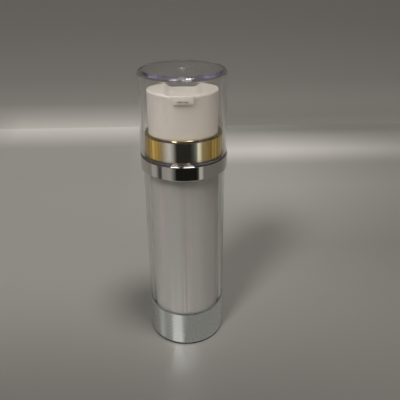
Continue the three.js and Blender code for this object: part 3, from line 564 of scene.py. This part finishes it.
rings = [[(x, SPOUT_ROOT, z) for x, z in tab_outline(0)]]
for inset, back in ((0, 0.4), (0, 0.3), (0.04, 0.15), (0.13, 0.04), (0.3, 0.0), (FACE_INSET, 0.0)):
    rings.append([on_face(x, z, back) for x, z in tab_outline(inset)])
for share in (0.75, 0.5, 0.25, 0.0):
    rings.append([on_face(x * share, TAB_MIDDLE + (z - TAB_MIDDLE) * share)
                  for x, z in tab_outline(FACE_INSET)])
carve(actuator, skin_rings("spout_tab", rings, closed=False), "UNION")
for side in (-1, 1):
    carve(actuator, slot_cutter(side * SLOT_X), "DIFFERENCE")
settle(actuator, "actuator", "pump_head", white_polypropylene)

# %% [markdown]
# The two inner bottles are D-shaped tubes. Each ring of points is the same D, drawn in by an inset,
# so the outside, the shoulder, the neck and the inside are one skin. On the shoulder the D turns
# into the circle of the neck by aiming each point at the pump's own axis.

# %% Chambers
PUMP_X = 6.7
CHAMBER_R, SEAM, D_CORNER = 17.1, 0.01, 0.15
CHAMBER_FOOT, SHOULDER, SHOULDER_ROUND = 3.8, 100.0, 0.9
CHAMBER_WALL, CEILING = 1.0, 98.8
NECK_R, NECK_BORE, NECK_TOP, NECK_EASE = 5.3, 4.4, 104.3, 0.2
CORNER_STEPS, ROUND_STEPS, FLAT_STEPS = 12, 72, 16
SIDE_LABELS = ((-1, "left"), (1, "right"))


def d_outline(side, inset, z):
    radius, flat = CHAMBER_R - inset, SEAM + inset
    x = flat + D_CORNER
    y = math.sqrt((radius - D_CORNER) ** 2 - x * x)
    reach = math.atan2(y, x)
    points = []
    for cx, cy, r, a0, a1, n in ((x, -y, D_CORNER, math.pi, 2 * math.pi - reach, CORNER_STEPS),
                                 (0, 0, radius, -reach, reach, ROUND_STEPS),
                                 (x, y, D_CORNER, reach, math.pi, CORNER_STEPS)):
        for k in range(n):
            a = a0 + (a1 - a0) * k / n
            points.append((side * (cx + r * math.cos(a)), side * (cy + r * math.sin(a)), z))
    flat_y = points[-1][1]
    return points + [(side * flat, flat_y * (1 - 2 * k / FLAT_STEPS), z) for k in range(FLAT_STEPS)]


def neck_ring(side, radius, z):
    ring = []
    for x, y, _ in d_outline(side, 0, z):
        a = math.atan2(y, x - side * PUMP_X)
        ring.append((side * PUMP_X + radius * math.cos(a), radius * math.sin(a), z))
    return ring


arc = (0, 0.26, 0.52, 0.79, 1.05, 1.31, 1.57)
outside = [(0.3, CHAMBER_FOOT), (0.08, 3.88), (0, 4.1), (0, 4.2), (0, 50.0), (0, 99.0)]
outside += [(SHOULDER_ROUND * (1 - math.cos(t)), SHOULDER - SHOULDER_ROUND * (1 - math.sin(t)))
            for t in arc] + [(CHAMBER_WALL, SHOULDER)]
neck = [(NECK_R + NECK_EASE, SHOULDER), (NECK_R, SHOULDER + NECK_EASE),
        (NECK_R, NECK_TOP - NECK_EASE), (NECK_R - NECK_EASE, NECK_TOP),
        (NECK_BORE + NECK_EASE, NECK_TOP), (NECK_BORE, NECK_TOP - NECK_EASE),
        (NECK_BORE, CEILING)]
inner = [(CHAMBER_WALL, CEILING), (CHAMBER_WALL, 98.7), (CHAMBER_WALL, 3.9), (0.9, CHAMBER_FOOT)]
for side, label in SIDE_LABELS:
    rings = [d_outline(side, inset, z) for inset, z in outside]
    rings += [neck_ring(side, radius, z) for radius, z in neck]
    rings += [d_outline(side, inset, z) for inset, z in inner]
    chamber = skin_rings("pearl_chamber_" + label, rings)
    settle(chamber, "chamber_" + label, "bottle", pearl_polypropylene)

# %% [markdown]
# The return springs are wound from round wire with their last turns eased flat. They are modelled
# finer than the CAD ones.

# %% Springs
TURNS, TURN_STEPS, WIRE_SIDES = 5, 32, 12
WIRE, COIL, SPRING_LENGTH, SPRING_SEAT = 0.25, 2.65, 9.5, 87.8
rise = SPRING_LENGTH - 2 * WIRE
pitch = rise / (TURNS - 1)


def wire_height(t):
    if t > TURNS - 1:
        return rise - pitch * (TURNS - t) ** 2 / 2
    return pitch * t * t / 2 if t < 1 else pitch * (t - 0.5)


for side, label in SIDE_LABELS:
    rings = []
    for i in range(TURN_STEPS * TURNS + 1):
        t = i / TURN_STEPS
        a = 2 * math.pi * t
        out = Vector((math.cos(a), math.sin(a), 0)) * side
        middle = Vector((side * PUMP_X, 0, SPRING_SEAT + WIRE + wire_height(t))) + out * COIL
        rings.append([middle + out * WIRE * math.cos(b) + Vector((0, 0, WIRE * math.sin(b)))
                      for b in (2 * math.pi * k / WIRE_SIDES for k in range(WIRE_SIDES))])
    spring = skin_rings("wound_spring_" + label, rings, closed=False)
    settle(spring, "return_spring_" + label, "bottle", stainless_steel)
    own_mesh(spring)

# %% [markdown]
# The other inner pieces have the right shape in the CAD model and only need their finish.

# %% Inner pieces
finishes = {"white_polypropylene": white_polypropylene, "soft_polyethylene": soft_polyethylene,
            "spring_steel": stainless_steel}
kept = []
for part in frame["record"]["subparts"]:
    piece = frame["nodes"][part["node"]]
    if not piece.hide_render:
        piece.data.materials.clear()
        piece.data.materials.append(finishes[part["material_slot"]])
        kept.append(part["node"])
print("kept from the CAD model:", kept)

# %% [markdown]
# The bottle stands on a plain grey table with a darker wall behind it. A pale band of light lies
# across them: on the left at the foot of the wall, and on the right on the table before it. No lamp
# here reaches so far back, so the band is drawn in the paint as painted light, and painted shade
# darkens the table towards the front and to the right. Distances are in metres.

# %% Table
BAND_LEFT, BAND_RIGHT = 0.364, 0.279
CHANGE_LEFT, CHANGE_RIGHT = -0.06, 0.05
END_FROM, END_TO = -0.3, -0.2
SMOOTH = "SMOOTHSTEP"


def sheet(name, corners, finish):
    mesh = bpy.data.meshes.new(name)
    mesh.from_pydata(corners, [], [range(len(corners))])
    piece = bpy.data.objects.new(name, mesh)
    scene.collection.objects.link(piece)
    mesh.materials.append(finish)
    return piece


table_paint, tree, place = start("painted table, satin")
spot = add(tree, "SeparateXYZ", {}, {0: place})
x, y = spot.outputs["X"], spot.outputs["Y"]
near = add(tree, "MapRange", {"From Min": -0.09, "From Max": 0.05, "interpolation_type": SMOOTH},
           {"Value": y})
across = add(tree, "MapRange", {"From Min": 0.0, "From Max": 0.22, "interpolation_type": SMOOTH},
             {"Value": x})
fade = add(tree, "MapRange", {"From Min": 0.1, "From Max": 0.25, "To Min": 1.0, "To Max": 0.35},
           {"Value": x})
inside = add(tree, "MapRange", {"From Min": END_FROM, "From Max": END_TO}, {"Value": x})
half = add(tree, "MapRange", {"From Min": CHANGE_LEFT, "From Max": CHANGE_RIGHT}, {"Value": x})
left = add(tree, "MapRange", {"From Min": BAND_LEFT - 0.09, "From Max": BAND_LEFT, "To Max": 0.75,
                              "interpolation_type": SMOOTH}, {"Value": y})
rise = add(tree, "MapRange", {"From Min": BAND_RIGHT - 0.2, "From Max": BAND_RIGHT - 0.1,
                              "To Max": 0.28}, {"Value": y})
peak = add(tree, "MapRange", {"From Min": BAND_RIGHT - 0.05, "From Max": BAND_RIGHT, "To Max": 0.72,
                              "interpolation_type": SMOOTH}, {"Value": y})
past = add(tree, "MapRange", {"From Min": BAND_RIGHT, "From Max": BAND_LEFT - 0.02, "To Min": 1.0,
                              "To Max": 0.0}, {"Value": y})
lift = add(tree, "MapRange", {"From Min": 0.04, "From Max": 0.16, "To Max": 0.08}, {"Value": y})
right = add(tree, "Math", {"operation": "ADD"},
            {0: rise.outputs["Result"], 1: peak.outputs["Result"]})
band = add(tree, "Math", {"operation": "MULTIPLY"},
           {0: right.outputs[0], 1: past.outputs["Result"]})
lifted = add(tree, "Math", {"operation": "MAXIMUM"},
             {0: left.outputs["Result"], 1: lift.outputs["Result"]})
edge_light = add(tree, "Math", {"operation": "MULTIPLY"},
                 {0: lifted.outputs[0], 1: inside.outputs["Result"]})
sheen = add(tree, "Mix", {}, {FACTOR: half.outputs["Result"], NUMBER_A: edge_light.outputs[0],
                              NUMBER_B: band.outputs[0]})
glow = add(tree, "Math", {"operation": "MULTIPLY"},
           {0: sheen.outputs[0], 1: fade.outputs["Result"]})
# Painted shade: the table darkens towards the front.
front = add(tree, "Mix",
            {"data_type": "RGBA", COLOUR_A: linear("#62605c"), COLOUR_B: linear("#87857f")},
            {FACTOR: near.outputs["Result"]})
# Painted shade: the table darkens to the right.
plain = add(tree, "Mix", {"data_type": "RGBA", COLOUR_B: linear("#72706b")},
            {FACTOR: across.outputs["Result"], COLOUR_A: front.outputs[COLOUR_OUT]})
tone = add(tree, "Mix", {"data_type": "RGBA", COLOUR_B: linear("#c4c0bb")},
           {FACTOR: glow.outputs[0], COLOUR_A: plain.outputs[COLOUR_OUT]})
skin = add(tree, "BsdfPrincipled", {"Roughness": 0.32}, {"Base Color": tone.outputs[COLOUR_OUT]})
add(tree, "OutputMaterial", {}, {"Surface": skin.outputs[0]})
print("made:", table_paint.name)

# %% [markdown]
# The wall's paint darkens upwards: painted shade, as the light falls off up the wall. It has
# two sets of tones, because its left half holds the painted band of light at its foot and its
# right half doesn't.

# %% Wall
ROOM_HALF, ROOM_HEIGHT, WALL_RISE = 0.9, 0.9, 0.24

wall_paint, tree, place = start("painted wall, matt")
spot = add(tree, "SeparateXYZ", {}, {0: place})
half = add(tree, "MapRange", {"From Min": CHANGE_LEFT, "From Max": CHANGE_RIGHT,
                              "To Min": 1.0, "To Max": 0.0}, {"Value": spot.outputs["X"]})
inside = add(tree, "MapRange", {"From Min": END_FROM, "From Max": END_TO},
             {"Value": spot.outputs["X"]})
lit = add(tree, "Math", {"operation": "MULTIPLY"},
          {0: half.outputs["Result"], 1: inside.outputs["Result"]})
shades = []
for foot, above in (("#898680", "#817e79"), ("#b7b3ae", "#a39f9a")):
    shade = add(tree, "ValToRGB", {}, {"Fac": spot.outputs["Z"]})
    stops = shade.color_ramp.elements
    stops[0].color = linear(foot)
    stops[1].color, stops[1].position = linear("#514f4b"), WALL_RISE
    for height, colour in (0.012, above), (0.03, "#807e79"), (0.06, "#74726e"), (0.12, "#666460"):
        stops.new(height).color = linear(colour)
    shades.append(shade.outputs[0])
tone = add(tree, "Mix", {"data_type": "RGBA"},
           {FACTOR: lit.outputs[0], COLOUR_A: shades[0], COLOUR_B: shades[1]})
skin = add(tree, "BsdfPrincipled", {"Roughness": 0.8}, {"Base Color": tone.outputs[COLOUR_OUT]})
add(tree, "OutputMaterial", {}, {"Surface": skin.outputs[0]})

edge = [(-ROOM_HALF, BAND_LEFT, 0), (ROOM_HALF, BAND_LEFT, 0)]
sheet("table", [(-ROOM_HALF, -ROOM_HALF, 0), (ROOM_HALF, -ROOM_HALF, 0)] + edge[::-1], table_paint)
sheet("wall", edge + [(x, y, ROOM_HEIGHT) for x, y, _ in edge[::-1]], wall_paint)
print("table's far edge:", edge)

# %% [markdown]
# A mirror shows what stands round it, so a product photographer sets dark and pale cards about the
# table to draw its shape. A card here glows with its own tone, has one face and fades out at its
# far end. Only mirrors see it: the camera doesn't, nor does a look through one clear wall, and it
# gives no light and throws no shadow. What the mirrors show of the cards is painted reflection.

# %% One card
FADE, ONE_WALL, WALL_SPAN = 0.03, 2.0, 1.5


def unseen(piece):
    piece.visible_camera = piece.visible_diffuse = piece.visible_shadow = False


def lay_card(name, corners, finish, tree, place, glow, far):
    reach = add(tree, "VectorMath", {"operation": "LENGTH"}, {0: place})
    fade = add(tree, "MapRange", {"From Min": far - FADE, "From Max": far},
               {"Value": reach.outputs["Value"]})
    ray = add(tree, "LightPath")
    bent = add(tree, "Math", {"operation": "COMPARE", 1: ONE_WALL, 2: WALL_SPAN},
               {0: ray.outputs["Transmission Depth"]})
    side = add(tree, "NewGeometry")
    below = add(tree, "Math", {"operation": "MAXIMUM"},
                {0: side.outputs["Backfacing"], 1: bent.outputs[0]})
    gone = add(tree, "Math", {"operation": "MAXIMUM"},
               {0: below.outputs[0], 1: fade.outputs["Result"]})
    under = add(tree, "BsdfTransparent")
    top = add(tree, "MixShader", {}, {0: gone.outputs[0], 1: glow.outputs[0], 2: under.outputs[0]})
    add(tree, "OutputMaterial", {}, {"Surface": top.outputs[0]})
    unseen(sheet(name, corners[::-1], finish))


print("cards fade over", FADE, "m")

# %% [markdown]
# Two flat rings of card lie round the bottle: the shoulder ring mirrors the near one and the collar
# the far one. Their tone goes by the angle from straight ahead. The collar's warm sides show its
# own gold with a painted reflection of straw and ochre card, and its grey front a painted
# reflection of pale and black card. The bright stops paint highlights on the ring and the collar.

# %% Rings of card
NEAR_RING, FAR_RING = (0.2, 0.28), (0.28, 0.38)
CARD_HEIGHT, ARC_STEPS, BRUSHED = 0.001, 48, 0.4
PALE, GREY, BLACK, BRIGHT = "#a5a29c", "#4a4843", "#1c1b17", "#b9b6ae"
TAN, OCHRE, STRAW = "#938b72", "#7c6730", "#ad9759"
SKY, INK, WHITE = "#d0dafa", "#1f2324", "#f0fbff"


def card_ring(name, band, tones, streaks=0.0):
    (near, far), low, high = band, tones[0][0], tones[-1][0]
    finish, tree, place = start(name)
    ahead = add(tree, "Mapping", {"Scale": (1, -1, 1)}, {"Vector": place})
    spot = add(tree, "SeparateXYZ", {}, {0: ahead.outputs[0]})
    angle = add(tree, "Math", {"operation": "ARCTAN2"},
                {0: spot.outputs["X"], 1: spot.outputs["Y"]})
    share = add(tree, "MapRange", {"From Min": math.radians(low), "From Max": math.radians(high)},
                {"Value": angle.outputs[0]})
    tone = add(tree, "ValToRGB", {}, {"Fac": share.outputs["Result"]})
    stops = tone.color_ramp.elements
    stops[0].color, stops[1].color = linear(tones[0][1]), linear(tones[-1][1])
    for degrees, colour in tones[1:-1]:
        stops.new((degrees - low) / (high - low)).color = linear(colour)
    brush = add(tree, "TexNoise", {"noise_dimensions": "1D", "Scale": 9.0, "Detail": 3.0},
                {"W": angle.outputs[0]})
    level = add(tree, "MapRange", {"From Min": 0.35, "From Max": 0.65,
                                   "To Min": 1 - streaks, "To Max": 1 + streaks},
                {"Value": brush.outputs["Fac"]})
    glow = add(tree, "Emission", {},
               {"Color": tone.outputs[0], "Strength": level.outputs["Result"]})
    arc = [math.radians(low + (high - low) * k / ARC_STEPS) for k in range(ARC_STEPS + 1)]
    corners = [(near * math.sin(a), -near * math.cos(a), CARD_HEIGHT) for a in arc]
    corners += [(far * math.sin(a), -far * math.cos(a), CARD_HEIGHT) for a in arc[::-1]]
    lay_card(name, corners, finish, tree, place, glow, far + FADE)


card_ring("near_cards", NEAR_RING, (
    (-92, PALE), (-77, PALE), (-67, GREY), (-60, GREY), (-57, "#9a9691"), (-36, PALE), (-20, BLACK),
    (31, BLACK), (36, GREY), (39, BRIGHT), (45, BRIGHT), (50, "#85827c")))
card_ring("far_cards_left", FAR_RING, (
    (-132, TAN), (-112, OCHRE), (-98, STRAW), (-92, "#dac48f"), (-85, "#a48d4c"), (-74, STRAW),
    (-64, TAN)), BRUSHED)
card_ring("far_cards_front", FAR_RING, (
    (-64, TAN), (-56, "#aaa7a5"), (-40, SKY), (-34, "#b8c3e4"), (-21, "#363c44"), (-17, INK),
    (17, INK), (26, "#464d58"), (35, "#7d889c"), (39, WHITE), (42, WHITE), (52, TAN)))
card_ring("far_cards_right", FAR_RING, (
    (52, TAN), (80, OCHRE), (90, "#a3945f"), (104, "#877744"), (132, TAN)), BRUSHED)
print("rings of card set out")

# %% [markdown]
# The satin base mirrors what lies close to its foot. Each of its cards is a fan that starts at the
# base and runs out the way that the base mirrors it, so it shows as one upright band: painted
# reflection. The pale one paints the base's upright highlight.

# %% Fans of card
FAN_START, FAN_RISE, FAN_LENGTH, FAN_FAR, FAN_STEPS = 0.0205, 0.05, 0.1, 0.095, 24


def fan_card(name, low, high, tone):
    finish, tree, place = start(name)
    glow = add(tree, "Emission", {"Color": linear(tone)})
    arc = [math.radians(low + (high - low) * k / FAN_STEPS) for k in range(FAN_STEPS + 1)]
    near = [Vector((math.sin(a), -math.cos(a), FAN_RISE)) * FAN_START for a in arc]
    far = [p + Vector((math.sin(2 * a), -math.cos(2 * a), 0)) * FAN_LENGTH
           for p, a in zip(near, arc)]
    lay_card(name, near + far[::-1], finish, tree, place, glow, FAN_FAR)


fan_card("base_card_edge", -62, -50, "#7d7d79")
fan_card("base_card_streak", -49, -39, "#a3a69e")
fan_card("base_card_left", -38, -27, "#8c8c88")
fan_card("base_highlight_card", -24, -8, "#d2d2ce")
fan_card("base_card_right", -5, 65, "#84847f")
print("fans of card set out")

# %% [markdown]
# A large lamp from the front left does most of the work and gives the long soft shadow to the
# right. One from high up on the right gives the short shadow to the left.

# %% Lamps
AIM = Vector((0, 0, 0.06))
DAYLIGHT, WARM = "#fffefc", "#fff8ee"


def lamp(name, place, size, power, colour):
    light = bpy.data.lights.new(name, "AREA")
    light.shape, light.size, light.energy = "DISK", size, power
    light.color = linear(colour)[:3]
    piece = bpy.data.objects.new(name, light)
    piece.location = place
    piece.rotation_euler = (AIM - Vector(place)).to_track_quat("-Z", "Y").to_euler()
    piece.visible_camera = False
    scene.collection.objects.link(piece)
    print("lamp:", piece.name, power, "W")


lamp("key_lamp", (-0.783, -1.253, 1.82), 0.52, 32.5, DAYLIGHT)
lamp("overhead_lamp", (0.311, -0.271, 2.028), 0.46, 26.0, DAYLIGHT)

# %% [markdown]
# Two low panels stand far off on either side and fill the front. A clear wall would show them as
# white shapes, so they are left out of what is seen through it. Two ceiling panels give no light:
# they show as glints in the mirrors, and inside the rim of a clear wall that turns light back.
# The Light Path node counts a ray's bounces, so a count under a half means none.

# %% Panels
FILL_WIDE, FILL_TALL = 0.53, 0.34
CEILING_NEAR, CEILING_FAR = (0.65, 1.4), (1.15, 1.0)
NO_BOUNCE = 0.5


def fill_panel(name, x, y, strength, colour):
    finish, tree, _ = start(name)
    ray = add(tree, "LightPath")
    sight = add(tree, "Math", {"operation": "LESS_THAN", 1: NO_BOUNCE},
                {0: ray.outputs["Diffuse Depth"]})
    through = add(tree, "Math", {"operation": "MULTIPLY"},
                  {0: ray.outputs["Is Transmission Ray"], 1: sight.outputs[0]})
    glow = add(tree, "Emission", {"Color": linear(colour), "Strength": strength})
    clear = add(tree, "BsdfTransparent")
    both = add(tree, "MixShader", {},
               {0: through.outputs[0], 1: glow.outputs[0], 2: clear.outputs[0]})
    add(tree, "OutputMaterial", {}, {"Surface": both.outputs[0]})
    foot, top = Vector((x, y, 0)), Vector((0, 0, FILL_TALL))
    along = Vector((-y, x, 0)).normalized() * FILL_WIDE / 2
    corners = [foot - along, foot + along, foot + along + top, foot - along + top]
    panel = sheet(name, corners, finish)
    panel.visible_camera = panel.visible_glossy = panel.visible_shadow = False


fill_panel("left_fill_panel", -1.9, -0.6, 10.5, DAYLIGHT)
fill_panel("right_fill_panel", 1.33, -1.49, 9.2, WARM)

panel_light, tree, _ = start("ceiling panel, frosted")
glow = add(tree, "Emission", {"Strength": 6.0})
ray = add(tree, "LightPath")
turned_back = add(tree, "Math", {"operation": "GREATER_THAN", 1: NO_BOUNCE},
                  {0: ray.outputs["Glossy Depth"]})
one_wall = add(tree, "Math", {"operation": "COMPARE", 1: ONE_WALL, 2: 0.5},
               {0: ray.outputs["Transmission Depth"]})
inside = add(tree, "Math", {"operation": "MULTIPLY"},
             {0: turned_back.outputs[0], 1: one_wall.outputs[0]})
through = add(tree, "Math", {"operation": "SUBTRACT", "use_clamp": True},
              {0: ray.outputs["Is Transmission Ray"], 1: inside.outputs[0]})
clear = add(tree, "BsdfTransparent")
both = add(tree, "MixShader", {}, {0: through.outputs[0], 1: glow.outputs[0], 2: clear.outputs[0]})
add(tree, "OutputMaterial", {}, {"Surface": both.outputs[0]})
for name, low, high in (("left_panel", -40, -18), ("right_panel", -2, 28)):
    a, b = math.radians(low), math.radians(high)
    unseen(sheet(name, [(r * math.sin(t), -r * math.cos(t), z) for t, (r, z) in
                        ((a, CEILING_FAR), (b, CEILING_FAR), (b, CEILING_NEAR), (a, CEILING_NEAR))],
                 panel_light))
print("panels set up")

# %% [markdown]
# The world is a dim even glow. Seen straight, or through a clear wall, it is shown as plain grey,
# so that the room behind the bottle is not black from the sides and the back.

# %% World
DIM, SHOWN = 0.03, 0.16

world = bpy.data.worlds.new("even room light")
world.use_nodes = True
tree = world.node_tree
ray = add(tree, "LightPath")
direct = add(tree, "Math", {"operation": "LESS_THAN", 1: NO_BOUNCE},
             {0: ray.outputs["Glossy Depth"]})
through = add(tree, "Math", {"operation": "MULTIPLY"},
              {0: ray.outputs["Is Transmission Ray"], 1: direct.outputs[0]})
shown = add(tree, "Math", {"operation": "MAXIMUM"},
            {0: ray.outputs["Is Camera Ray"], 1: through.outputs[0]})
level = add(tree, "MapRange", {"To Min": DIM, "To Max": SHOWN}, {"Value": shown.outputs[0]})
room = tree.nodes["Background"]
room.inputs["Color"].default_value = linear("#cfccc8")
tree.links.new(level.outputs["Result"], room.inputs["Strength"])
scene.world = world
print("world:", world.name)
